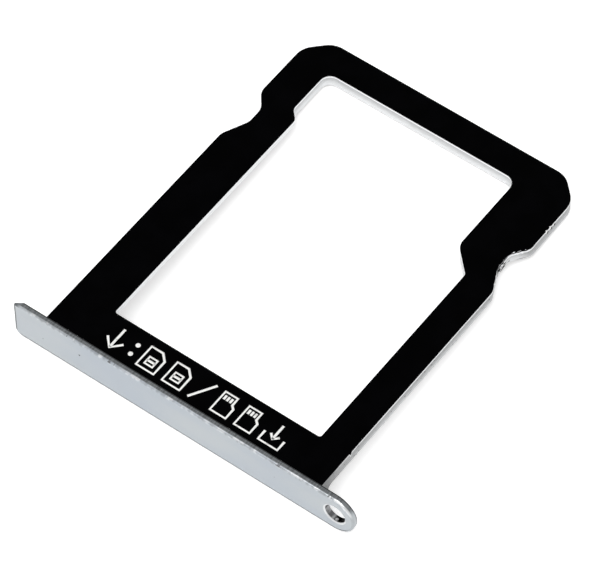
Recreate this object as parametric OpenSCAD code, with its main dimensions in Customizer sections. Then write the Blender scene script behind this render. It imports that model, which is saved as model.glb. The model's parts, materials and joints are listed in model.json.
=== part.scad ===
// Slide-in tray that carries a memory card into a phone: a thin cut frame with a keyed
// opening, bonded behind a slim bezel that closes the slot in the phone's side.
// X runs along the bezel, Y from the bezel to the tip of the frame, Z up from the bezel's
// lower edge. The origin lies under the middle of the whole tray.

/* [Memory card] */
// Width of the card across its rear part
card_w = 11; // [10:0.1:12]
// Length of the card
card_l = 15; // [14:0.1:16]
// Width of the card's narrow contact end
card_tip_w = 9.7; // [9:0.1:9.9]
// Length of the narrow end along the keyed side, up to the slope
card_tip_l = 4; // [3:0.1:5]
// Play between the card and each side of its seat
side_play = 0.05; // [0.03:0.01:0.1]
// Play between the card and each end of its seat
end_play = 0.15; // [0.05:0.01:0.2]

/* [Card seat] */
// Thickness of the ledges that hold the card's sides
ledge_t = 0.3; // [0.2:0.05:0.4]
// Width of the ledge on the plain side
plain_ledge_w = 0.43; // [0.3:0.01:0.6]
// Width of the ledge on the keyed side
keyed_ledge_w = 0.21; // [0.1:0.01:0.4]
// Length at the tip that the plain side's ledge leaves free
plain_ledge_stop = 2.45; // [2:0.05:3]
// Corner radius at the two far corners of the seat
seat_tip_r = 0.5; // [0.2:0.05:0.7]
// Corner radius at the two near corners of the seat
seat_near_r = 0.12; // [0.05:0.01:0.3]
// Radius where the keyed side's slope runs into the narrow end
key_blend_r = 0.7; // [0.3:0.05:0.9]
// Radius at both ends of the plain side's small step
step_blend_r = 0.4; // [0.1:0.05:0.5]

/* [Frame] */
// Thickness of the frame
frame_t = 0.6; // [0.5:0.05:1]
// Width of the bar left of the seat
left_bar_w = 1.68; // [1.4:0.02:2.2]
// Width of the bar right of the seat, beside the card's wide part
right_bar_w = 1.22; // [1:0.02:2]
// Depth of the bar between the bezel and the seat
near_bar_w = 1.83; // [1.5:0.01:2.5]
// Depth of the bar at the tip
tip_bar_w = 1.45; // [1:0.05:2]
// Size of the slanted corners at the tip
tip_chamfer = 1; // [0.6:0.05:1.2]
// Radius where a slanted corner meets a straight edge
tip_blend_r = 1; // [0.2:0.1:1.2]

/* [Latch notches] */
// Depth of the notch in each long edge
notch_depth = 0.58; // [0.2:0.02:0.7]
// Length of the notch's flat floor
notch_floor = 0.85; // [0.5:0.05:1.2]
// Length of the notch's steeper side, towards the tip
notch_tip_run = 0.75; // [0.5:0.05:1]
// Length of the notch's gentler side, towards the bezel
notch_near_run = 1.2; // [0.8:0.05:1.5]
// Distance from the tip of the frame to the notch
notch_from_tip = 3.95; // [3:0.05:5]
// Radius at the four bends of a notch
notch_blend_r = 0.7; // [0.2:0.05:0.8]

/* [Front flange] */
// Thickness of the wall that turns down behind the bezel
flange_t = 0.4; // [0.3:0.05:0.6]
// Height that the flange stays above the bezel's lower edge
flange_clear = 0.15; // [0.05:0.05:0.4]
// Radius of the flange's lower corners
flange_corner_r = 0.4; // [0.1:0.05:0.6]
// Radius of the inside bend between flange and frame
bend_r = 0.3; // [0.1:0.05:0.4]

/* [Bezel] */
// Height of the bezel
bezel_h = 2.05; // [1.6:0.05:2.6]
// Thickness of the bezel
bezel_t = 0.3; // [0.25:0.05:0.6]
// Reach of the bezel past the frame's left edge
left_reach = 1.53; // [1:0.01:2.5]
// Reach of the bezel past the frame's right edge, which holds the eject hole
right_reach = 1.78; // [1.6:0.01:2.5]
// Upper corner radius of the bezel's square end
left_top_r = 0.16; // [0.1:0.02:0.7]
// Lower corner radius of the bezel's square end
left_low_r = 0.36; // [0.2:0.02:0.7]
// Length by which the square end slants back towards the rear face
left_slant = 0.24; // [0:0.02:0.5]
// Depth of the square end's upright part, between its rounded front edge and the slant
left_flat = 0.01; // [0.01:0.01:0.08]
// Radius of the broken edge all round the bezel
bezel_edge_r = 0.07; // [0.03:0.01:0.1]
// Height that the bezel stands above the frame
bezel_rise = 0.05; // [0:0.01:0.15]

/* [Eject hole] */
// Diameter of the hole for the eject pin
hole_d = 0.98; // [0.7:0.02:1.2]
// Distance of the hole's centre past the frame's right edge
hole_reach = 0.84; // [0.7:0.01:1.2]
// Width of the bevel round the mouth of the hole
hole_bevel = 0.04; // [0.02:0.01:0.08]

/* [Hidden] */
// Extra reach of a cutting body past the face that it opens
cut = 0.1;
// Angle between neighbouring points on a blend
arc_step = 7.5;
// Number of layers that round the bezel's edge
edge_layers = 4;

// Seat outline, with the card's play on every side
seat_w = card_w + 2 * side_play;
seat_l = card_l + 2 * end_play;
seat_tip_w = card_tip_w + 2 * side_play;
seat_tip_l = card_tip_l + end_play;
// The keyed side slopes at 45 degrees, so its length equals its width
key_run = seat_w - seat_tip_w;
open_run = key_run - keyed_ledge_w;

frame_w = left_bar_w + seat_w + right_bar_w;
frame_l = near_bar_w + seat_l + tip_bar_w;
frame_top = bezel_h - bezel_rise;
frame_bottom = frame_top - frame_t;
bezel_l = left_reach + frame_w + right_reach;
right_end_r = bezel_h / 2;
total_l = bezel_t + frame_l;
notch_top = frame_l - notch_from_tip;
notch_far_floor = notch_top - notch_tip_run;
notch_near_floor = notch_far_floor - notch_floor;
notch_near = notch_near_floor - notch_near_run;

// Arc that replaces the corner at b, between its neighbours a and c; r = 0 keeps the corner
function blend(a, b, c, r) =
    let (
        u = (a - b) / norm(a - b),
        v = (c - b) / norm(c - b),
        half = acos(max(-1, min(1, u * v))) / 2,
        middle = b + (u + v) / norm(u + v) * r / sin(half),
        start = b + u * r / tan(half) - middle,
        left_turn = u[0] * v[1] - u[1] * v[0] < 0,
        sweep = (left_turn ? 1 : -1) * (180 - 2 * half),
        steps = max(1, ceil(abs(sweep) / arc_step))
    )
    r == 0 ? [b] : [
        for (i = [0:steps])
            let (turn = sweep * i / steps)
            middle + [
                start[0] * cos(turn) - start[1] * sin(turn),
                start[0] * sin(turn) + start[1] * cos(turn)
            ]
    ];

// Closed outline from corners written as [x, y, radius]
function rounded(corners) = [
    for (i = [0:len(corners) - 1])
        let (
            before = corners[(i + len(corners) - 1) % len(corners)],
            here = corners[i],
            after = corners[(i + 1) % len(corners)]
        )
        for (p = blend([before[0], before[1]], [here[0], here[1]], [after[0], after[1]], here[2])) p
];

// Moves a shape to the near left corner of the card seat
module at_seat() {
    translate([left_bar_w, near_bar_w]) children();
}

// Corners of one long edge, from the bezel to the tip; side is the edge's X, either sign
function edge_corners(side) = [
    [side, 0, 0],
    [side, notch_near, notch_blend_r],
    [side - sign(side) * notch_depth, notch_near_floor, notch_blend_r],
    [side - sign(side) * notch_depth, notch_far_floor, notch_blend_r],
    [side, notch_top, notch_blend_r],
    [side, frame_l - tip_chamfer, tip_blend_r],
    [side - sign(side) * tip_chamfer, frame_l, tip_blend_r]
];

// Outer outline of the frame, the same on both sides
module frame_outline() {
    right_side = edge_corners(frame_w / 2);
    left_side = edge_corners(-frame_w / 2);
    left_back = [for (i = [len(left_side) - 1:-1:0]) left_side[i]];
    translate([frame_w / 2, 0]) polygon(rounded(concat(right_side, left_back)));
}

// Opening through the frame: the card's outline less the two ledges
module opening_outline() {
    polygon(rounded([
        [plain_ledge_w, 0, seat_near_r],
        [seat_w - keyed_ledge_w, 0, seat_near_r],
        [seat_w - keyed_ledge_w, seat_l - seat_tip_l - open_run, seat_near_r],
        [seat_tip_w, seat_l - seat_tip_l, key_blend_r],
        [seat_tip_w, seat_l, seat_tip_r],
        [0, seat_l, seat_tip_r],
        [0, seat_l - plain_ledge_stop, step_blend_r],
        [plain_ledge_w, seat_l - plain_ledge_stop - plain_ledge_w, step_blend_r]
    ]));
}

// Recess that takes the whole card, keyed so that it goes in one way round
module seat_outline() {
    polygon(rounded([
        [0, 0, seat_near_r],
        [seat_w, 0, seat_near_r],
        [seat_w, seat_l - seat_tip_l - key_run, seat_near_r],
        [seat_tip_w, seat_l - seat_tip_l, key_blend_r],
        [seat_tip_w, seat_l, seat_tip_r],
        [0, seat_l, seat_tip_r]
    ]));
}

// Section of the flange and its inside bend, drawn in the Y-Z plane
module flange_section() {
    polygon(concat(
        [
            [0, frame_bottom + frame_t / 2],
            [0, flange_clear],
            [flange_t, flange_clear]
        ],
        [
            for (turn = [180:-arc_step:90])
                [flange_t + bend_r + bend_r * cos(turn), frame_bottom - bend_r + bend_r * sin(turn)]
        ],
        [[flange_t + bend_r, frame_bottom + frame_t / 2]]
    ));
}

// Front view of the flange, with its lower corners rounded
module flange_face() {
    polygon(rounded([
        [0, flange_clear, flange_corner_r],
        [frame_w, flange_clear, flange_corner_r],
        [frame_w, frame_top, 0],
        [0, frame_top, 0]
    ]));
}

// Wall that turns down behind the bezel and carries it
module flange() {
    intersection() {
        rotate([90, 0, 90]) linear_extrude(frame_w) flange_section();
        translate([0, flange_t + bend_r + cut, 0])
            rotate([90, 0, 0]) linear_extrude(flange_t + bend_r + 2 * cut) flange_face();
    }
}

// Front view of the bezel: square end at the left, full round at the right
module bezel_outline(inset, start) {
    polygon(rounded([
        [start + inset, inset, left_low_r - inset],
        [bezel_l - inset, inset, right_end_r - inset],
        [bezel_l - inset, bezel_h - inset, right_end_r - inset],
        [start + inset, bezel_h - inset, left_top_r - inset]
    ]));
}

// Solid bezel with its edge rounded all the way round and its square end slanted at the rear
module bezel_body() {
    front_part = bezel_edge_r + left_flat;
    hull() for (i = [0:edge_layers]) {
        turn = 90 * i / edge_layers;
        inset = bezel_edge_r * (1 - cos(turn));
        drop = bezel_edge_r * (1 - sin(turn));
        translate([0, 0, drop]) linear_extrude(bezel_t - 2 * drop) bezel_outline(inset, left_slant);
        translate([0, 0, bezel_t - front_part]) linear_extrude(front_part - drop) bezel_outline(inset, 0);
    }
}

// Frame that holds the card, in one piece with the flange
module tray_frame() {
    color([0.07, 0.07, 0.075])
    translate([-bezel_l / 2 + left_reach, bezel_t - total_l / 2, 0])
    union() {
        difference() {
            translate([0, 0, frame_bottom]) linear_extrude(frame_t) frame_outline();
            translate([0, 0, frame_bottom - cut])
                linear_extrude(frame_t + 2 * cut) at_seat() opening_outline();
            translate([0, 0, frame_bottom - cut])
                linear_extrude(frame_t - ledge_t + cut) at_seat() seat_outline();
        }
        flange();
    }
}

// Bezel that fills the slot in the phone's side, with the hole for the eject pin
module bezel() {
    color([0.78, 0.79, 0.81])
    translate([-bezel_l / 2, bezel_t - total_l / 2, 0])
    rotate([90, 0, 0])
    difference() {
        bezel_body();
        translate([left_reach + frame_w + hole_reach, bezel_h / 2, 0]) {
            translate([0, 0, -cut]) cylinder(h = bezel_t + 2 * cut, d = hole_d, $fn = 64);
            translate([0, 0, bezel_t - hole_bevel])
                cylinder(h = 2 * hole_bevel, d1 = hole_d, d2 = hole_d + 4 * hole_bevel, $fn = 64);
        }
    }
}

tray_frame();
bezel();
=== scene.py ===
import functools
import json
import math

import bmesh
import bpy
from bpy.props import FloatProperty, FloatVectorProperty, PointerProperty
from mathutils import Matrix, Vector


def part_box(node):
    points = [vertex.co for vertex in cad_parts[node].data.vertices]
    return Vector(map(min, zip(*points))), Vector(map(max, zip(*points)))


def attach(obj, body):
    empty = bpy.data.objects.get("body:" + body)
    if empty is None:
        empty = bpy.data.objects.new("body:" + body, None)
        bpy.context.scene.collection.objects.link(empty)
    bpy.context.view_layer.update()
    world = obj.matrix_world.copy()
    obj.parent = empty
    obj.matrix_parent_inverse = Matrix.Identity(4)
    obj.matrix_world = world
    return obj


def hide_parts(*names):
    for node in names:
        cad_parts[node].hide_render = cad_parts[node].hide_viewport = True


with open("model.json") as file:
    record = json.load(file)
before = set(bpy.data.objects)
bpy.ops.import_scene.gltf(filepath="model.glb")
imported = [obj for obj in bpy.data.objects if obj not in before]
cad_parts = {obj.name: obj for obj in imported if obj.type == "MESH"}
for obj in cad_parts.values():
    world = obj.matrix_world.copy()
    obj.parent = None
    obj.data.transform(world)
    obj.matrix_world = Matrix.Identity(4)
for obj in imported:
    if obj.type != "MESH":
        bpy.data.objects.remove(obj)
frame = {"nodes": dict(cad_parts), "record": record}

bl_info = {
    "name": "Memory Card Tray",
    "version": (1, 0, 0),
    "blender": (4, 5, 0),
    "location": "View3D > Sidebar > Card Tray",
    "description": "Finishes the frame, the bezel and the printed marks of a memory card tray",
    "category": "Object",
}

MM = 0.001
FRAME_LOW, FRAME_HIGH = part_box("tray_frame")
BEZEL_LOW, BEZEL_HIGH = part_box("bezel")
EJECT_HOLE = next(mount for mount in frame["record"]["mounts"] if mount["name"] == "eject_hole")
PLATE_THICKNESS = 0.6 * MM

# The flange and its bend reach this far from the frame's near side, and its cut foot this far up
FLANGE_ZONE = 0.9 * MM
FLANGE_FOOT = 0.1 * MM

# Flat faces are grouped by their height in such steps, and a group of this area is a wide one
LEVEL_STEP = 0.01 * MM
WIDE_AREA = 20 * MM * MM

# The turn between two faces from which their edge gets a bevel, or stays sharp in the shading
BEVEL_ANGLE = math.radians(50.0)
SHARP_ANGLE = math.radians(40.0)

# A wall counts as an outer one by its distance from the outline, in millimetres: not at all at
# the first, and wholly at the second
OUTER_ZONE = (1.2, 0.6)

# Places along the frame's right edge, in millimetres from its tip: the chips in the coat, each
# with its size, the notch, the stretch where the coat runs over the edge, and a nick in it. A
# stretch has four places: where it starts, is full, fades and ends
EDGE_CHIPS = ((2.37, 0.08), (2.6, 0.09), (2.87, 0.09))
NOTCH_SPAN = (3.9, 4.5, 6.3, 6.9)
POUR_SPAN = (3.6, 4.1, 5.65, 5.85)
EDGE_NICK = 16.64

# The pit in the bezel's face, in millimetres from its left end and from its upper edge
PIT_FROM_LEFT = 3.42
PIT_FROM_TOP = 0.86

# Colours of small spots: the ground under chipped coat, the bezel's pits and the painted shade along
# its back, then the eject hole's painted reflection streaks, dark and light, and the painted shade of
# its deep sides
PALE_GROUND = (0.93, 0.93, 0.92)
PIT_DARK = (0.06, 0.06, 0.065)
BACK_SHADE = (0.01, 0.01, 0.011)
BORE_STREAK_SHADE = (0.16, 0.16, 0.165)
BORE_STREAK_SHEEN = (0.6, 0.61, 0.62)
BORE_SHADE = (0.002, 0.002, 0.002)


# Sizes and colours that a user would change

class CoatSettings(bpy.types.PropertyGroup):
    edge_break: FloatProperty(
        name="Edge break", description="Size of the rounding along every cut edge",
        default=0.025 * MM, unit="LENGTH", precision=6)
    rim: FloatProperty(
        name="Worn rim", description="Width of the strip beside an edge in which the coat may chip",
        default=0.16 * MM, unit="LENGTH", precision=6)
    coat: FloatVectorProperty(
        name="Coat", description="Colour of the black coat",
        default=(0.0005, 0.0005, 0.0007), subtype="COLOR")
    coat_roughness: FloatProperty(
        name="Coat roughness", description="Roughness of the black coat", default=0.55, min=0, max=1)
    cut_metal: FloatVectorProperty(
        name="Cut metal", description="Colour of the bare cut walls",
        default=(0.88, 0.89, 0.9), subtype="COLOR")
    cut_roughness: FloatProperty(
        name="Cut roughness", description="Roughness of the bare cut walls", default=0.3, min=0, max=1)


class BezelSettings(bpy.types.PropertyGroup):
    face: FloatVectorProperty(
        name="Face", description="Colour of the satin metal",
        default=(0.54, 0.57, 0.59), subtype="COLOR")
    tint: FloatVectorProperty(
        name="Tint", description="Colour of the faint cooler patches",
        default=(0.49, 0.53, 0.575), subtype="COLOR")
    # Colour of the painted highlight along the upper edge and on the hole's mouth
    glint: FloatVectorProperty(
        name="Edge highlight", description="Colour of the bright dashes along the upper edge",
        default=(0.82, 0.83, 0.84), subtype="COLOR")
    # Width of the ragged strip that carries the painted highlight dashes
    worn: FloatProperty(
        name="Highlight width", description="Width of the ragged bright strip along the upper edge",
        default=0.055 * MM, unit="LENGTH", precision=6)
    roughness: FloatProperty(
        name="Roughness", description="Roughness of the satin metal", default=0.36, min=0, max=1)


class PrintSettings(bpy.types.PropertyGroup):
    stroke: FloatProperty(
        name="Stroke", description="Width of a printed stroke",
        default=0.11 * MM, unit="LENGTH", precision=6)
    thickness: FloatProperty(
        name="Thickness", description="Height of the ink above the coat",
        default=0.008 * MM, unit="LENGTH", precision=6)
    height: FloatProperty(
        name="Height", description="Height of the row of marks",
        default=1.12 * MM, unit="LENGTH", precision=6)
    length: FloatProperty(
        name="Length", description="Length of the row of marks",
        default=8.95 * MM, unit="LENGTH", precision=6)
    start: FloatProperty(
        name="Start", description="Distance from the frame's left side to the row of marks",
        default=2.6 * MM, unit="LENGTH", precision=6)
    foot: FloatProperty(
        name="Foot", description="Distance from the frame's near side to the foot of the marks",
        default=0.27 * MM, unit="LENGTH", precision=6)
    ink: FloatVectorProperty(
        name="Ink", description="Colour of the ink", default=(0.9, 0.9, 0.88), subtype="COLOR")


class StudioSettings(bpy.types.PropertyGroup):
    azimuth: FloatProperty(
        name="Azimuth", description="Direction the camera looks along, from +Y towards -X",
        default=math.radians(37.0), subtype="ANGLE")
    elevation: FloatProperty(
        name="Elevation", description="Height of the camera above the horizon",
        default=math.radians(53.806), subtype="ANGLE")
    roll: FloatProperty(
        name="Roll", description="Turn of the camera about its own axis",
        default=math.radians(-0.57), subtype="ANGLE")
    distance: FloatProperty(
        name="Distance", description="Distance from the camera to the aimed point",
        default=187.58 * MM, unit="LENGTH")
    aim: FloatVectorProperty(
        name="Aim", description="Point on the frame's top face that the camera looks at",
        default=(0.2167 * MM, -1.6271 * MM, 2.0 * MM), subtype="TRANSLATION")
    lens: FloatProperty(
        name="Lens", description="Focal length in millimetres", default=273.5)
    floor: FloatVectorProperty(
        name="Floor", description="Colour of the floor", default=(0.82, 0.82, 0.82), subtype="COLOR")
    floor_size: FloatProperty(
        name="Floor size", description="Length of each side of the floor", default=3.0, unit="LENGTH")
    floor_gap: FloatProperty(
        name="Floor gap", description="Room left between the floor and the tray's lowest points",
        default=0.002 * MM, unit="LENGTH", precision=6)
    floor_glow: FloatProperty(
        name="Floor glow", description="Share of white that the camera sees on the floor by itself",
        default=0.5, min=0, max=1)
    mirror_glow: FloatProperty(
        name="Mirrored glow", description="Share of white that the metal mirrors from the floor",
        default=0.2, min=0, max=1)
    key_power: FloatProperty(
        name="Key light", description="Power of the soft light above the camera, in watts", default=1.2)
    key_size: FloatProperty(
        name="Key size", description="Width of the soft light", default=0.36, unit="LENGTH")
    key_distance: FloatProperty(
        name="Key distance", description="Distance from the tray to the soft light",
        default=0.45, unit="LENGTH")
    key_direction: FloatVectorProperty(
        name="Key direction", description="Direction from the tray to the soft light",
        default=(0.12, -0.34, 0.93), subtype="XYZ")
    horizon: FloatProperty(
        name="Horizon", description="Brightness of the studio walls", default=0.95)
    ceiling: FloatProperty(
        name="Ceiling", description="Brightness of the studio ceiling", default=0.6)


# Shader maths

class Signal:
    """A socket that takes part in Python expressions; each operator adds its Math node."""

    def __init__(self, nodes, socket):
        self.nodes = nodes
        self.socket = socket

    def math(self, operation, *others):
        values = {i + 1: other for i, other in enumerate(others)}
        return self.nodes.add("ShaderNodeMath", {"operation": operation}, {0: self, **values})

    def __add__(self, other):
        return self.math("ADD", other)

    __radd__ = __add__

    def __sub__(self, other):
        return self.math("SUBTRACT", other)

    def __rsub__(self, other):
        return self.nodes.add("ShaderNodeMath", {"operation": "SUBTRACT"}, {0: other, 1: self})

    def __mul__(self, other):
        return self.math("MULTIPLY", other)

    __rmul__ = __mul__

    def __truediv__(self, other):
        return self.math("DIVIDE", other)

    def __abs__(self):
        return self.math("ABSOLUTE")

    def larger(self, other):
        return self.math("MAXIMUM", other)

    def smaller(self, other):
        return self.math("MINIMUM", other)

    def ramp(self, start, end):
        """0 at start and 1 at end, smooth between them; start may be the larger."""
        settings = {"interpolation_type": "SMOOTHSTEP"}
        low, high = min(start, end), max(start, end)
        rising = self.nodes.add(
            "ShaderNodeMapRange", settings, {"Value": self, "From Min": low, "From Max": high})
        return rising if start < end else 1 - rising

    def span(self, start, full, fading, end):
        """1 from full to fading, falling smoothly to 0 at start and at end."""
        return self.ramp(start, full) * self.ramp(end, fading)

    def near(self, centre, reach):
        """1 at centre, falling smoothly to 0 at reach from it."""
        return abs(self - centre).ramp(reach, 0)


def largest(signals):
    return functools.reduce(Signal.larger, signals)


def distance(*parts):
    """The length of a vector whose parts are signals."""
    squares = [part * part for part in parts]
    return functools.reduce(Signal.__add__, squares).math("SQRT")


def opaque(colour):
    return (*colour, 1.0)


def shade(colour, factor):
    """The colour made darker or lighter by a factor."""
    return opaque([factor * part for part in colour])


class Nodes:
    """Builds one material's or world's node tree."""

    def __init__(self, owner):
        owner.use_nodes = True
        self.tree = owner.node_tree
        self.tree.nodes.clear()

    def add(self, kind, settings=None, inputs=None, output=0):
        """Adds a node, its settings first and then its inputs, and returns one of its outputs."""
        node = self.tree.nodes.new(kind)
        for name, value in (settings or {}).items():
            setattr(node, name, value)
        for name, value in (inputs or {}).items():
            if isinstance(value, Signal):
                self.tree.links.new(value.socket, node.inputs[name])
            else:
                node.inputs[name].default_value = value
        return Signal(self, node.outputs[output]) if node.outputs else None

    def place(self):
        return self.add("ShaderNodeTexCoord", output="Object")

    def split(self, vector):
        """The three parts of a vector."""
        node = self.tree.nodes.new("ShaderNodeSeparateXYZ")
        self.tree.links.new(vector.socket, node.inputs[0])
        return [Signal(self, node.outputs[i]) for i in range(3)]

    def split_mm(self, vector):
        """The three parts of a place, in millimetres."""
        return [part / MM for part in self.split(vector)]

    def attribute(self, name):
        return self.add("ShaderNodeAttribute", {"attribute_name": name}, output="Fac")

    def stretched(self, vector, scale, turn=0.0):
        """The vector scaled along each axis and then turned about Z, to stretch a pattern."""
        values = {"Vector": vector, "Rotation": (0.0, 0.0, turn), "Scale": scale}
        return self.add("ShaderNodeMapping", None, values)

    def noise(self, vector, scale, detail=2.0, roughness=0.5):
        values = {"Vector": vector, "Scale": scale, "Detail": detail, "Roughness": roughness}
        return self.add("ShaderNodeTexNoise", None, values, output="Fac")

    def mix_colour(self, share, first, second):
        settings = {"data_type": "RGBA"}
        return self.add("ShaderNodeMix", settings, {0: share, 6: first, 7: second}, output=2)

    def layered(self, colour, *layers):
        """The colour with layers over it, each given as its share and its own colour."""
        for share, layer in layers:
            colour = self.mix_colour(share, colour, layer)
        return colour

    def bump(self, height, strength, distance):
        return self.add(
            "ShaderNodeBump", None, {"Height": height, "Strength": strength, "Distance": distance})

    def finish_surface(self, shader):
        self.add("ShaderNodeOutputMaterial", None, {"Surface": shader})


# The frame's coated metal

class FramePlaces:
    """Where a point of the frame lies, in millimetres and as masks from 0 to 1, and its flaking."""

    def __init__(self, nodes):
        self.point = nodes.place()
        x, y, z = nodes.split_mm(self.point)
        low, high = FRAME_LOW / MM, FRAME_HIGH / MM
        self.depth = high.z - z
        self.from_tip = high.y - y
        self.from_right = high.x - x
        self.right = self.from_right.ramp(*OUTER_ZONE)
        left = (x - low.x).ramp(*OUTER_ZONE)
        self.outside = largest([self.right, left, self.from_tip.ramp(*OUTER_ZONE)])
        self.notch = self.right * self.from_tip.span(*NOTCH_SPAN)
        self.poured = self.right * self.from_tip.span(*POUR_SPAN)
        self.wall = nodes.attribute("bare")
        self.rim = nodes.attribute("rim")
        self.flakes = nodes.noise(self.point, 5200.0, 3.0, 0.6)


def flaked_rim(places):
    """Small flakes off the top of the coat, along its edges."""
    worn = places.rim + 0.12 * places.notch + 1.2 * (places.flakes - 0.5)
    return worn.ramp(1.16, 1.26) * places.rim.ramp(0.3, 0.6) * places.depth.ramp(0.06, 0.04)


def edge_chips(places):
    """Chips that show the coat's pale ground, and a dark spot of the coat's colour on the wall below
    each.
    """
    chips = []
    coat_spots = []
    for chip_place, chip_size in EDGE_CHIPS:
        along = places.from_tip - chip_place
        chip_gap = distance(1.14 * along, 1.265 * places.from_right, 0.775 * (places.depth - 0.09))
        ragged_gap = chip_gap + 0.05 * (places.flakes - 0.5)
        chips.append(ragged_gap.ramp(chip_size, 0.8 * chip_size))
        coat_spot_gap = distance(along + 0.07, places.depth - 0.17)
        coat_spots.append(coat_spot_gap.ramp(0.09, 0.06))
    return largest(chips), places.wall * places.right * largest(coat_spots)


def depth_below_coat(places):
    """Depth below the coat that runs over the edge: furthest in the notch's root, and at the nick."""
    run_over = 0.1 + 0.09 * places.from_tip.ramp(4.7, 5.3) + 0.16 * (places.flakes - 0.4)
    nick = places.right * places.from_tip.near(EDGE_NICK, 0.1)
    return places.depth - (places.poured * run_over + 0.16 * nick)


def spilled_coat(nodes, places):
    """Spots of coat on the right wall, most of them in the notch."""
    spill = nodes.noise(nodes.stretched(places.point, (1.0, 1.0, 1.6)), 5600.0, 3.0, 0.6)
    more_in_notch = 0.19 * places.poured * places.from_tip.ramp(4.8, 5.2)
    return places.right * (spill + more_in_notch).ramp(0.655, 0.68)


def notch_crack(places):
    """The crack along the coat in the root of the right notch."""
    wandering = places.depth + 0.12 * (places.flakes - 0.5)
    return places.poured * places.from_tip.ramp(4.5, 4.7) * wandering.near(0.08, 0.035)


def wall_colour(nodes, places, below_coat, lines, metal):
    """Cut metal with painted light: a painted highlight under the coat's edge, darker below it and
    lighter towards the underside as painted reflection, lighter inside the opening and in the notch,
    painted shade near the bezel, and a darker spot low in the notch.
    """
    broad = nodes.noise(places.point, 420.0, 2.0)
    # Painted reflection: the wall grows lighter towards the underside
    foot = 0.62 * places.depth.ramp(0.1, 0.75)
    # Painted light: the walls inside the opening are lighter
    inside = (1 - places.outside) * (0.4 + 0.5 * places.from_tip.ramp(3.6, 4.4))
    # Painted highlight just under the coat's edge
    coat_edge_highlight = 0.8 * below_coat.ramp(0.12, 0.08)
    # Painted shade on the walls near the bezel
    bezel_shade = 0.6 * places.from_tip.ramp(15.4, 18.4)
    # A darker spot low on the wall in the notch
    notch_low_dark = 0.7 * places.from_tip.near(4.33, 0.3) * places.depth.near(0.56, 0.05)
    # The notch's wall is lighter as painted light; the noise is the metal's own grain
    clear = foot + inside + 0.4 * places.notch + coat_edge_highlight - bezel_shade - notch_low_dark
    clear = clear + 0.45 * (lines - 0.5) + 0.35 * (broad - 0.5)
    # Painted shade in the corner at the bezel, on the outer walls
    corner_shade = 0.7 * places.outside * places.from_tip.ramp(17.2, 18.5)
    return nodes.layered(
        shade(metal, 0.4), (clear.ramp(0.0, 1.0), opaque(metal)), (corner_shade, shade(metal, 0.13)))


def coated_metal(settings):
    """Black coat on the flat faces, bare metal on the cut walls and where the coat has flaked."""
    material = bpy.data.materials.new("coated_metal")
    nodes = Nodes(material)
    places = FramePlaces(nodes)
    lines = nodes.noise(nodes.stretched(places.point, (1.0, 1.0, 14.0)), 2600.0, 3.0, 0.55)
    dust = nodes.noise(places.point, 900.0, 4.0)
    grain = nodes.noise(places.point, 16000.0, 2.0)

    chipped, coat_spot = edge_chips(places)
    below_coat = depth_below_coat(places)
    coated = largest([below_coat.ramp(0.015, -0.015), spilled_coat(nodes, places), coat_spot])
    cracked = 0.5 * places.wall * notch_crack(places)
    bare = largest([places.wall * (1 - coated), cracked, flaked_rim(places)])

    colour = nodes.layered(
        shade(settings.coat, 0.7),
        (dust.ramp(0.35, 0.7), shade(settings.coat, 1.6)),
        (bare, wall_colour(nodes, places, below_coat, lines, settings.cut_metal)),
        (chipped, opaque(PALE_GROUND)))
    coat_rough = settings.coat_roughness + 0.14 * (dust - 0.5)
    wall_rough = settings.cut_roughness + 0.25 * (lines - 0.5)
    height = grain * 0.25 * (1 - bare) + lines * bare * (0.35 + 0.9 * places.notch)
    shader = nodes.add("ShaderNodeBsdfPrincipled", None, {
        "Base Color": colour,
        "Metallic": bare * (1 - chipped),
        "Roughness": coat_rough * (1 - bare) + wall_rough * bare,
        "Specular IOR Level": 0.01,
        "Normal": nodes.bump(height, 0.6, 0.02 * MM),
    })
    nodes.finish_surface(shader)
    return material


# The bezel's satin metal

class BezelPlaces:
    """Where a point of the bezel lies, in millimetres and as masks from 0 to 1, and its raggedness."""

    def __init__(self, nodes):
        self.point = nodes.place()
        x, y, z = nodes.split_mm(self.point)
        low, high = BEZEL_LOW / MM, BEZEL_HIGH / MM
        self.from_left = x - low.x
        self.from_right = high.x - x
        self.from_foot = z - low.z
        self.from_top = high.z - z
        self.from_front = y - low.y
        self.from_rear = high.y - y
        self.front = self.from_front.ramp(0.1, 0.05)
        self.upper = self.from_foot.ramp(1.35, 1.6) * self.from_left.ramp(0.15, 0.4)
        # At the right end the rim keeps the face's colour, with less painted shade
        self.right_end = self.from_right.ramp(0.5, 0.2) * self.from_foot.ramp(1.8, 1.5)
        # Near the hole the painted highlight strip widens and brightens
        self.by_hole = self.from_right.near(0.75, 0.85)

        hole_x, _, hole_z = EJECT_HOLE["pos_m"]
        self.across = x - hole_x / MM
        self.above = z - hole_z / MM
        self.hole_gap = distance(self.across, self.above) - EJECT_HOLE["dims"]["r_mm"]
        self.bore = self.hole_gap.ramp(0.03, 0.01) * self.from_front.ramp(0.03, 0.05)

        end_radius = (high.z - low.z) / 2
        beyond = (end_radius - self.from_right).larger(0.0)
        round_gap = end_radius - distance(beyond, self.above)
        self.edge_gap = round_gap.smaller(self.from_left)
        self.ragged = nodes.noise(nodes.stretched(self.point, (1.0, 0.6, 0.6)), 4200.0, 2.0)


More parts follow.
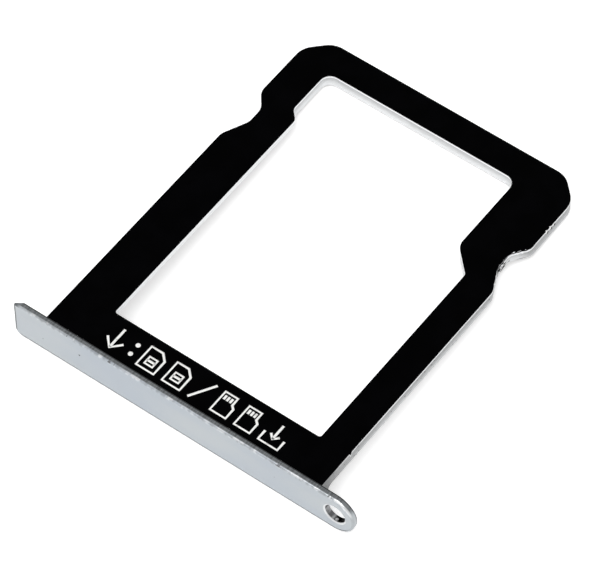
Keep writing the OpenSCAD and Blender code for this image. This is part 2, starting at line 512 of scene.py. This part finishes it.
def edge_highlights(nodes, places, width):
    """Painted highlight dashes, and dark nicks, where the face turns into the upper rim."""
    dashes = nodes.noise(nodes.stretched(places.point, (1.0, 0.3, 0.3)), 1500.0, 3.0, 0.6)
    strip = width / MM * (1 + 2.2 * (places.ragged - 0.5) + 0.8 * places.by_hole)
    inside = places.edge_gap - strip
    edge = places.front * places.upper
    bright = edge * inside.ramp(0.02, -0.02) * (dashes + 0.13 * places.by_hole).ramp(0.55, 0.61)
    nicked = (1 - dashes).ramp(0.58, 0.63) * places.ragged.ramp(0.52, 0.58)
    return bright * (0.7 + 0.3 * places.by_hole), edge * inside.ramp(0.06, 0.0) * nicked


def pits(nodes, places, nicks):
    """The small pit in the face, fine specks and the nicks."""
    pit_gap = distance(places.from_left - PIT_FROM_LEFT, places.from_top - PIT_FROM_TOP)
    specks = nodes.noise(places.point, 3300.0, 1.0).ramp(0.79, 0.82)
    return largest([places.front * pit_gap.ramp(0.055, 0.03), places.front * specks, 0.75 * nicks])


def face_and_rim(nodes, places, mottle, cutter, settings):
    """Mottled satin faces, and a narrow cut rim darkened as painted shade, with a painted dark line
    along its back and along the lower outline.
    """
    cloud = mottle + 0.16 * (nodes.noise(places.point, 900.0, 2.0) - 0.5) - 0.07 * places.upper
    satin = nodes.mix_colour(cloud.ramp(0.3, 0.65), opaque(settings.tint), opaque(settings.face))
    # A darker and a lighter copy of the face's colour: painted shade on the rim
    rim_shade = shade(settings.face, 0.36)
    rim = nodes.mix_colour(cutter.ramp(0.35, 0.65), rim_shade, shade(settings.face, 0.62))
    rear = places.from_rear.ramp(0.004, 0.001)
    # Painted shade: a dark line along the back edge
    back = places.from_rear.span(0.1, 0.045, 0.004, 0.001)
    # A band under the upper edge with spots of painted shade and painted highlight
    band = places.front * places.upper * places.edge_gap.ramp(0.2, 0.1)
    # Painted shade: a dark line along the lower outline, fading at the right end
    outline = places.front * (1 - places.upper) * places.edge_gap.ramp(0.12, 0.095)
    return nodes.layered(
        rim,
        (largest([places.front, rear, 0.8 * places.right_end]), satin),
        (0.3 * band * places.ragged.ramp(0.5, 0.4), rim_shade),
        (0.4 * band * places.ragged.ramp(0.54, 0.62), opaque(settings.glint)),
        (0.85 * outline * (1 - 0.8 * places.right_end), shade(settings.face, 0.2)),
        (0.9 * back * (1 - places.bore), opaque(BACK_SHADE)))


def bore_streaks_and_shade(nodes, places):
    """The wall of the eject hole: streaks of painted reflection, and painted shade in black at its
    lower right and upper left.
    """
    streaks = nodes.noise(nodes.stretched(places.point, (2.2, 0.5, 1.0)), 2600.0, 3.0, 0.6)
    lower_right_shade = (places.across - 0.9 * places.above).ramp(0.3, 0.42)
    upper_left_shade = places.across.ramp(-0.4, -0.46) * places.above.ramp(-0.1, 0.05)
    return nodes.layered(
        opaque(BORE_STREAK_SHADE),
        (streaks.ramp(0.35, 0.65), opaque(BORE_STREAK_SHEEN)),
        (lower_right_shade.larger(upper_left_shade), opaque(BORE_SHADE)))


def mouth_highlight(places):
    """Painted highlight on the mouth of the eject hole, and a painted bright fleck low in its bore."""
    mouth = places.front * places.hole_gap.ramp(0.085, 0.06) * (1 - places.bore)
    lower_left = (places.across + places.above).ramp(0.25, 0.05)
    far_right = places.across.ramp(0.38, 0.46) * places.above.ramp(0.1, -0.1)
    fleck_gap = distance(places.across - 0.03, places.from_front - 0.13)
    fleck = places.bore * fleck_gap.ramp(0.085, 0.06) * places.above.ramp(-0.3, -0.4)
    return (mouth * lower_left.larger(far_right)).larger(fleck)


def bezel_metal(settings):
    """Satin silver metal with painted highlight dashes along the upper edge, a cut rim darkened as
    painted shade, small pits and a bore with painted reflection and shade.
    """
    material = bpy.data.materials.new("bezel_metal")
    nodes = Nodes(material)
    places = BezelPlaces(nodes)
    mottle = nodes.noise(nodes.stretched(places.point, (1.0, 1.0, 1.6)), 170.0, 2.0)
    cutter_lines = nodes.stretched(places.point, (9.0, 0.6, 1.0), math.radians(38.0))
    cutter = nodes.noise(cutter_lines, 1500.0, 2.0)
    blast = nodes.noise(places.point, 14000.0, 2.0)

    # Painted highlight dashes along the upper edge, and nicks
    bright, nicks = edge_highlights(nodes, places, settings.worn)
    marks = pits(nodes, places, nicks)
    off_face = (1 - places.front) * cutter
    colour = nodes.layered(
        face_and_rim(nodes, places, mottle, cutter, settings),
        (places.bore, bore_streaks_and_shade(nodes, places)),
        (bright.larger(mouth_highlight(places)), opaque(settings.glint)),
        (marks, opaque(PIT_DARK)))
    height = 0.2 * blast + 0.5 * off_face - 0.9 * marks
    shader = nodes.add("ShaderNodeBsdfPrincipled", None, {
        "Base Color": colour,
        "Metallic": 1.0,
        "Roughness": settings.roughness + 0.08 * (mottle - 0.5) - 0.12 * off_face + 0.2 * marks,
        "Normal": nodes.bump(height, 0.35, 0.02 * MM),
    })
    nodes.finish_surface(shader)
    return material


def white_ink(settings):
    """Opaque white ink, a little thin in places."""
    material = bpy.data.materials.new("white_ink")
    nodes = Nodes(material)
    place = nodes.place()
    thin = nodes.noise(place, 3800.0, 3.0, 0.6)
    grain = nodes.noise(place, 15000.0, 2.0)
    faint = shade(settings.ink, 0.62)
    shader = nodes.add("ShaderNodeBsdfPrincipled", None, {
        "Base Color": nodes.mix_colour(thin.ramp(0.56, 0.72), opaque(settings.ink), faint),
        "Roughness": 0.45 + 0.2 * (grain - 0.5),
        "Specular IOR Level": 0.4,
        "Normal": nodes.bump(grain, 0.3, 0.01 * MM),
    })
    nodes.finish_surface(shader)
    return material


# Meshes

def linked(name, data):
    """A new object of the scene that holds the data."""
    thing = bpy.data.objects.new(name, data)
    bpy.context.scene.collection.objects.link(thing)
    return thing


def merged_copy(node, name):
    """A copy of a CAD node's mesh, with its loose triangles joined and flat areas made one face."""
    mesh = frame["nodes"][node].data.copy()
    mesh.name = name
    mesh.materials.clear()
    work = bmesh.new()
    work.from_mesh(mesh)
    bmesh.ops.remove_doubles(work, verts=work.verts, dist=0.0002 * MM)
    bmesh.ops.dissolve_limit(
        work, angle_limit=math.radians(0.4), verts=work.verts, edges=work.edges)
    work.to_mesh(mesh)
    work.free()
    return mesh


def show(mesh, material, node):
    """Puts a finished mesh in the scene, in place of a CAD node where one is named."""
    piece = linked(mesh.name, mesh)
    mesh.materials.append(material)
    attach(piece, "root")
    if node:
        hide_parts(node)


def evaluated_mesh(holder):
    """The plain mesh that an object's modifiers make; the object itself is removed."""
    depsgraph = bpy.context.evaluated_depsgraph_get()
    depsgraph.update()
    mesh = bpy.data.meshes.new_from_object(holder.evaluated_get(depsgraph))
    bpy.data.objects.remove(holder)
    return mesh


def with_modifier(mesh, kind, settings):
    """Applies one modifier and returns the new mesh, which takes over the name."""
    name = mesh.name
    holder = linked(name, mesh)
    modifier = holder.modifiers.new(kind.lower(), kind)
    for setting, value in settings.items():
        setattr(modifier, setting, value)
    result = evaluated_mesh(holder)
    bpy.data.meshes.remove(mesh)
    result.name = name
    return result


def smoothed(mesh):
    """Shades the mesh smooth apart from sharp edges, with its flat faces kept flat."""
    mesh.shade_smooth()
    mesh.set_sharp_from_angle(angle=SHARP_ANGLE)
    return with_modifier(mesh, "WEIGHTED_NORMAL", {"keep_sharp": True, "weight": 100})


def break_edges(mesh, width):
    """Bevels every sharp edge; the bevel's faces get material index 1."""
    mesh.materials.append(None)
    mesh.materials.append(None)
    return with_modifier(mesh, "BEVEL", {
        "limit_method": "ANGLE", "angle_limit": BEVEL_ANGLE,
        "width": width, "segments": 3, "material": 1})


def is_coated(face):
    """The coat covers what faces up or down, rolls over the edges and covers the flange."""
    normal = face.normal
    middle = face.calc_center_median()
    if middle.y < FRAME_LOW.y + FLANGE_ZONE and abs(normal.y) > 0.3:
        return True
    if face.material_index == 1:
        return normal.z > 0.2 or normal.z < -0.5
    return abs(normal.z) > 0.5 and middle.z > FRAME_LOW.z + FLANGE_FOOT


def inset_strip(work, faces, width):
    """Adds a strip of faces inside the border of a flat group, on the mesh enlarged to millimetres."""
    bmesh.ops.scale(work, vec=Vector((1, 1, 1)) / MM, verts=work.verts)
    bmesh.ops.inset_region(work, faces=faces, thickness=width / MM, use_even_offset=True)
    bmesh.ops.scale(work, vec=Vector((1, 1, 1)) * MM, verts=work.verts)
    work.normal_update()


def wide_levels(work):
    """The coated flat faces in groups of equal height, without the narrow ledges."""
    flat = [
        face for face in work.faces
        if face.material_index == 0 and abs(face.normal.z) > 0.9 and is_coated(face)
    ]
    levels = {}
    for face in flat:
        level = round(face.calc_center_median().z / LEVEL_STEP)
        levels.setdefault(level, []).append(face)
    groups = [levels[level] for level in sorted(levels)]
    return [faces for faces in groups if sum(face.calc_area() for face in faces) > WIDE_AREA]


def mark_coat(mesh, rim_width):
    """Stores where the metal is bare, and how near each point of the coat is to an edge."""
    work = bmesh.new()
    work.from_mesh(mesh)
    for faces in wide_levels(work):
        inset_strip(work, faces, rim_width)
    bare = work.faces.layers.float.new("bare")
    for face in work.faces:
        face[bare] = 0.0 if is_coated(face) else 1.0
    rim = work.verts.layers.float.new("rim")
    for vert in work.verts:
        on_edge = any(face.material_index == 1 or face[bare] > 0.5 for face in vert.link_faces)
        vert[rim] = 1.0 if on_edge else 0.0
    for face in work.faces:
        face.material_index = 0
    work.to_mesh(mesh)
    work.free()
    mesh.materials.clear()


# Printed marks, each drawn from its left edge in a row of height 1, as strokes: the points of
# each stroke, and whether it is closed

def ring(u, v, radius, steps=12):
    turns = [2 * math.pi * i / steps for i in range(steps)]
    return [(u + radius * math.cos(turn), v + radius * math.sin(turn)) for turn in turns]


def down_arrow():
    return [([(0.36, 1.0), (0.36, 0.06)], False), ([(0.0, 0.42), (0.36, 0.03), (0.72, 0.42)], False)]


def two_dots():
    return [(ring(0.06, 0.72, 0.05), True), (ring(0.06, 0.26, 0.05), True)]


def small_card():
    outline = [(0.0, 0.02), (0.0, 0.98), (0.52, 0.98), (0.8, 0.7), (0.8, 0.02)]
    contacts = [(0.22, 0.24), (0.58, 0.24), (0.58, 0.58), (0.22, 0.58)]
    return [(outline, True), (contacts, True), ([(0.22, 0.41), (0.58, 0.41)], False)]


def slash():
    return [([(0.0, 0.0), (0.62, 1.0)], False)]


def keyed_card():
    outline = [(0.0, 0.02), (0.0, 0.98), (0.56, 0.98), (0.56, 0.62), (0.7, 0.5), (0.7, 0.02)]
    pads = [([(0.14 + 0.14 * i, 0.86), (0.14 + 0.14 * i, 0.66)], False) for i in range(3)]
    return [(outline, True)] + pads


def slot_mark():
    slot = [(0.0, 0.46), (0.0, 0.02), (0.86, 0.02), (0.86, 0.46)]
    arrow_head = [(0.24, 0.5), (0.43, 0.3), (0.62, 0.5)]
    return [(slot, False), ([(0.43, 1.0), (0.43, 0.3)], False), (arrow_head, False)]


MARKS = (
    down_arrow, two_dots, small_card, small_card, slash, keyed_card, keyed_card, slot_mark,
)


def row_of_marks(length, height):
    """Every stroke of the row, with the marks spaced evenly from 0 to the length."""
    drawn = [mark() for mark in MARKS]
    widths = [height * max(u for points, closed in mark for u, v in points) for mark in drawn]
    gap = (length - sum(widths)) / (len(drawn) - 1)
    strokes = []
    start = 0.0
    for mark, width in zip(drawn, widths):
        for points, closed in mark:
            strokes.append(([(start + height * u, height * v) for u, v in points], closed))
        start += width + gap
    return strokes


def ribbon_tree():
    """Geometry nodes that lay a flat ribbon of ink along each stroke."""
    tree = bpy.data.node_groups.new("ink_strokes", "GeometryNodeTree")
    for name, kind in (("Strokes", "Geometry"), ("Stroke width", "Float"),
                       ("Ink thickness", "Float"), ("Ink", "Material")):
        tree.interface.new_socket(name, in_out="INPUT", socket_type="NodeSocket" + kind)
    tree.interface.new_socket("Print", in_out="OUTPUT", socket_type="NodeSocketGeometry")
    start = tree.nodes.new("NodeGroupInput")
    end = tree.nodes.new("NodeGroupOutput")
    section = tree.nodes.new("GeometryNodeCurvePrimitiveQuadrilateral")
    sweep = tree.nodes.new("GeometryNodeCurveToMesh")
    sweep.inputs["Fill Caps"].default_value = True
    realize = tree.nodes.new("GeometryNodeRealizeInstances")
    paint = tree.nodes.new("GeometryNodeSetMaterial")
    join = tree.links.new
    join(start.outputs["Stroke width"], section.inputs["Width"])
    join(start.outputs["Ink thickness"], section.inputs["Height"])
    join(start.outputs["Strokes"], sweep.inputs["Curve"])
    join(section.outputs["Curve"], sweep.inputs["Profile Curve"])
    join(sweep.outputs["Mesh"], realize.inputs["Geometry"])
    join(realize.outputs["Geometry"], paint.inputs["Geometry"])
    join(start.outputs["Ink"], paint.inputs["Material"])
    join(paint.outputs["Geometry"], end.inputs["Print"])
    return tree


def stroke_curves(settings, lift):
    """All strokes of the row of marks, as poly splines at the given height."""
    curves = bpy.data.curves.new("mark_strokes", "CURVE")
    curves.dimensions = "3D"
    left = FRAME_LOW.x + settings.start
    foot = FRAME_LOW.y + settings.foot
    for points, closed in row_of_marks(settings.length, settings.height):
        spline = curves.splines.new("POLY")
        spline.points.add(len(points) - 1)
        spline.use_cyclic_u = closed
        for point, (across, up) in zip(spline.points, points):
            point.co = (left + across, foot + up, lift, 1.0)
    return curves


def swept_print(settings, material):
    """The strokes turned into one plain mesh of thin raised ink on the frame's top face."""
    lift = FRAME_HIGH.z + settings.thickness / 2
    holder = linked("mark_strokes", stroke_curves(settings, lift))
    tree = ribbon_tree()
    sweep = holder.modifiers.new("ink", "NODES")
    sweep.node_group = tree
    values = {
        "Stroke width": settings.stroke,
        "Ink thickness": settings.thickness,
        "Ink": material,
    }
    for socket in tree.interface.items_tree:
        if socket.name in values:
            sweep[socket.identifier] = values[socket.name]
    mesh = evaluated_mesh(holder)
    mesh.name = "printed_marks"
    mesh.materials.clear()
    return mesh


# The studio

def rest_slope():
    """Slope of the floor under the level tray, which rests on the bezel and on the tip of the frame."""
    tip_rise = FRAME_HIGH.z - PLATE_THICKNESS - BEZEL_LOW.z
    return tip_rise / (FRAME_HIGH.y - BEZEL_HIGH.y)


def floor_material(settings):
    """Matt floor that takes shadows, and glows a little for the camera and in mirrors."""
    material = bpy.data.materials.new("pale_floor")
    nodes = Nodes(material)
    seen = nodes.add("ShaderNodeLightPath", output="Is Camera Ray")
    mirrored = nodes.add("ShaderNodeLightPath", output="Is Glossy Ray")
    through = nodes.add("ShaderNodeLightPath", output="Is Transmission Ray")
    glow_share = (seen.larger(through) * settings.floor_glow).larger(mirrored * settings.mirror_glow)
    paint = nodes.add("ShaderNodeBsdfDiffuse", None, {"Color": opaque(settings.floor)})
    glow = nodes.add("ShaderNodeEmission", None, {"Strength": glow_share})
    nodes.finish_surface(nodes.add("ShaderNodeAddShader", None, {0: paint, 1: glow}))
    return material


def make_floor(settings):
    """One large square that slopes as the tray's lowest points do, just below them."""
    half = settings.floor_size / 2
    near_z, far_z = [
        rest_slope() * (y - BEZEL_HIGH.y) - settings.floor_gap for y in (-half, half)
    ]
    points = [(-half, -half, near_z), (half, -half, near_z), (half, half, far_z), (-half, half, far_z)]
    mesh = bpy.data.meshes.new("floor")
    mesh.from_pydata(points, [], [(0, 1, 2, 3)])
    mesh.materials.append(floor_material(settings))
    floor = linked("floor", mesh)


def make_lights(settings):
    """One large soft light above the camera, so that shadows stay short and fall away from it."""
    data = bpy.data.lights.new("soft_light", "AREA")
    data.shape = "DISK"
    data.size = settings.key_size
    data.energy = settings.key_power
    lamp = linked("soft_light", data)
    toward = Vector(settings.key_direction).normalized()
    lamp.location = toward * settings.key_distance
    lamp.rotation_euler = toward.to_track_quat("Z", "Y").to_euler()


def make_world(settings):
    """White to the camera; for the object, bright walls and a darker ceiling."""
    world = bpy.data.worlds.new("studio")
    bpy.context.scene.world = world
    nodes = Nodes(world)
    direction = nodes.add("ShaderNodeTexCoord", output="Generated")
    up = nodes.split(direction)[2]
    level = settings.horizon + (settings.ceiling - settings.horizon) * up.ramp(0.35, 0.8)
    seen = nodes.add("ShaderNodeLightPath", output="Is Camera Ray")
    light = nodes.add("ShaderNodeBackground", None, {"Strength": level * (1 - seen) + seen})
    nodes.add("ShaderNodeOutputWorld", None, {"Surface": light})


def make_camera(settings):
    """A long lens that looks down on the tray from its right front."""
    data = bpy.data.cameras.new("camera")
    data.lens = settings.lens
    data.clip_start = 0.01
    data.clip_end = 10.0
    camera = linked("camera", data)
    level = math.cos(settings.elevation)
    back = Vector((
        math.sin(settings.azimuth) * level,
        -math.cos(settings.azimuth) * level,
        math.sin(settings.elevation),
    ))
    turn = (-back).to_track_quat("-Z", "Y").to_matrix() @ Matrix.Rotation(settings.roll, 3, "Z")
    stand = Vector(settings.aim) + back * settings.distance
    camera.matrix_world = Matrix.Translation(stand) @ turn.to_4x4()
    bpy.context.scene.camera = camera


# Operators, one for each piece and one for the studio

class CARDTRAY_OT_make_frame(bpy.types.Operator):
    """Finish the frame: bevelled cut edges, black coat and bare walls"""
    bl_idname = "cardtray.make_frame"
    bl_label = "Frame"

    def execute(self, context):
        settings = context.scene.cardtray_coat
        mesh = break_edges(merged_copy("tray_frame", "frame_skin"), settings.edge_break)
        mark_coat(mesh, settings.rim)
        show(smoothed(mesh), coated_metal(settings), "tray_frame")
        return {"FINISHED"}


class CARDTRAY_OT_make_bezel(bpy.types.Operator):
    """Finish the bezel: satin face, machined rim and small nicks"""
    bl_idname = "cardtray.make_bezel"
    bl_label = "Bezel"

    def execute(self, context):
        settings = context.scene.cardtray_bezel
        mesh = smoothed(merged_copy("bezel", "bezel_skin"))
        show(mesh, bezel_metal(settings), "bezel")
        return {"FINISHED"}


class CARDTRAY_OT_make_print(bpy.types.Operator):
    """Print the row of plain white marks on the bar behind the bezel"""
    bl_idname = "cardtray.make_print"
    bl_label = "Printed marks"

    def execute(self, context):
        settings = context.scene.cardtray_print
        material = white_ink(settings)
        show(swept_print(settings, material), material, None)
        return {"FINISHED"}


class CARDTRAY_OT_make_stage(bpy.types.Operator):
    """Set up the pale floor, the soft light and the camera"""
    bl_idname = "cardtray.make_stage"
    bl_label = "Studio"

    def execute(self, context):
        settings = context.scene.cardtray_studio
        make_floor(settings)
        make_lights(settings)
        make_world(settings)
        make_camera(settings)
        context.scene.view_settings.view_transform = "Standard"
        return {"FINISHED"}


OPERATORS = (
    CARDTRAY_OT_make_frame, CARDTRAY_OT_make_bezel, CARDTRAY_OT_make_print, CARDTRAY_OT_make_stage,
)
SETTINGS = {
    "cardtray_coat": CoatSettings,
    "cardtray_bezel": BezelSettings,
    "cardtray_print": PrintSettings,
    "cardtray_studio": StudioSettings,
}


class CARDTRAY_PT_pieces(bpy.types.Panel):
    """Lists the pieces to make, and their sizes and colours"""
    bl_label = "Memory Card Tray"
    bl_idname = "CARDTRAY_PT_pieces"
    bl_space_type = "VIEW_3D"
    bl_region_type = "UI"
    bl_category = "Card Tray"

    def draw(self, context):
        for operator in OPERATORS:
            self.layout.operator(operator.bl_idname)
        for group in SETTINGS:
            settings = getattr(context.scene, group)
            box = self.layout.box()
            for name in settings.__annotations__:
                box.prop(settings, name)


CLASSES = (*SETTINGS.values(), *OPERATORS, CARDTRAY_PT_pieces)


def register():
    for item in CLASSES:
        bpy.utils.register_class(item)
    for name, group in SETTINGS.items():
        setattr(bpy.types.Scene, name, PointerProperty(type=group))


def unregister():
    for name in SETTINGS:
        delattr(bpy.types.Scene, name)
    for item in reversed(CLASSES):
        bpy.utils.unregister_class(item)


def main():
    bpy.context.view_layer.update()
    register()
    bpy.ops.cardtray.make_stage()
    bpy.ops.cardtray.make_frame()
    bpy.ops.cardtray.make_bezel()
    bpy.ops.cardtray.make_print()


if __name__ == "__main__":
    main()
